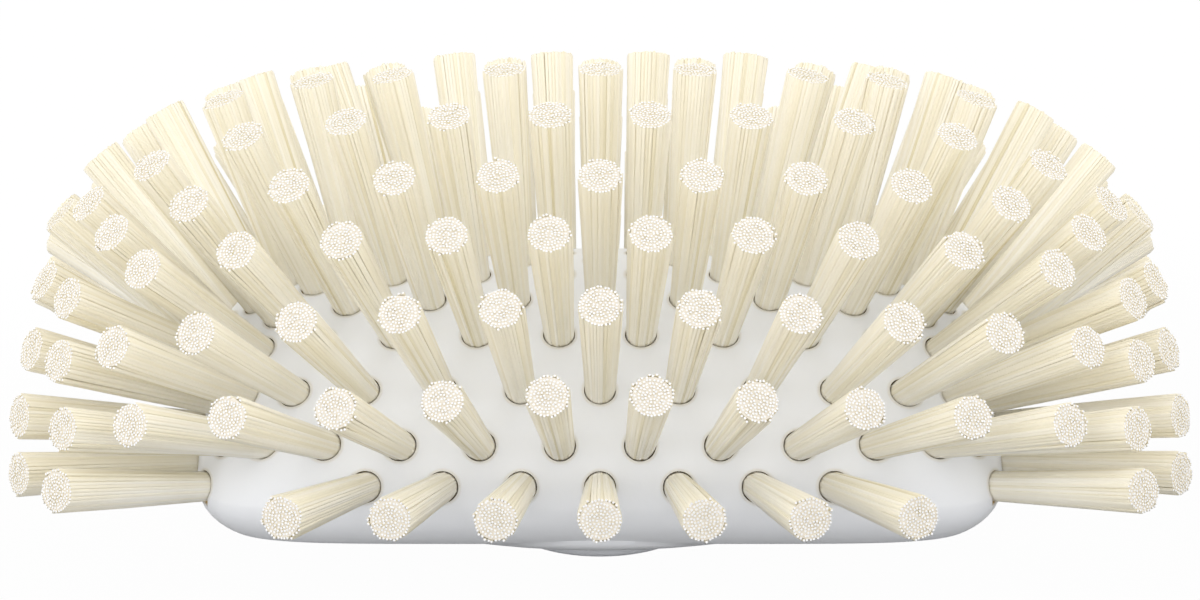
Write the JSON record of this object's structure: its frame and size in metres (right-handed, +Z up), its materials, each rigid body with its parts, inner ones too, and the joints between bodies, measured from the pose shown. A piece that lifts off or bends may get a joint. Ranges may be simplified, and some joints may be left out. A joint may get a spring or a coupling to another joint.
{
  "type": "kettle brush head",
  "caption": "Oblong domed brush head with rows of fanned bristle tufts over its top and ends, and a flared boss with a handle socket below.",
  "frame": {"origin": "middle of the boss's flat rim, which the head stands on, below the middle of the block", "axes": "+X along the block, +Z up through the crown, -Y the front"},
  "size_m": [0.1992, 0.149, 0.0836],
  "materials": {
    "white_plastic": "white moulded plastic, soft satin",
    "ivory_bristle": "ivory bristle filament, slightly glossy along its length"
  },
  "bodies": {
    "root": {"brush_block": "white_plastic", "back_row_1_left": "ivory_bristle", "back_row_1_right": "ivory_bristle", "back_row_2_left": "ivory_bristle", "back_row_2_right": "ivory_bristle", "back_row_3_left": "ivory_bristle", "back_row_3_right": "ivory_bristle", "back_row_4_left": "ivory_bristle", "back_row_4_right": "ivory_bristle", "back_row_5_left": "ivory_bristle", "back_row_5_right": "ivory_bristle", "crown_rows_left": "ivory_bristle", "crown_rows_right": "ivory_bristle", "end_tufts_left": "ivory_bristle", "end_tufts_right": "ivory_bristle", "front_row_1_left": "ivory_bristle", "front_row_1_right": "ivory_bristle", "front_row_2_left": "ivory_bristle", "front_row_2_right": "ivory_bristle", "front_row_3_left": "ivory_bristle", "front_row_3_right": "ivory_bristle", "front_row_4_left": "ivory_bristle", "front_row_4_right": "ivory_bristle", "front_row_5_left": "ivory_bristle", "front_row_5_right": "ivory_bristle"}
  },
  "joints": []
}
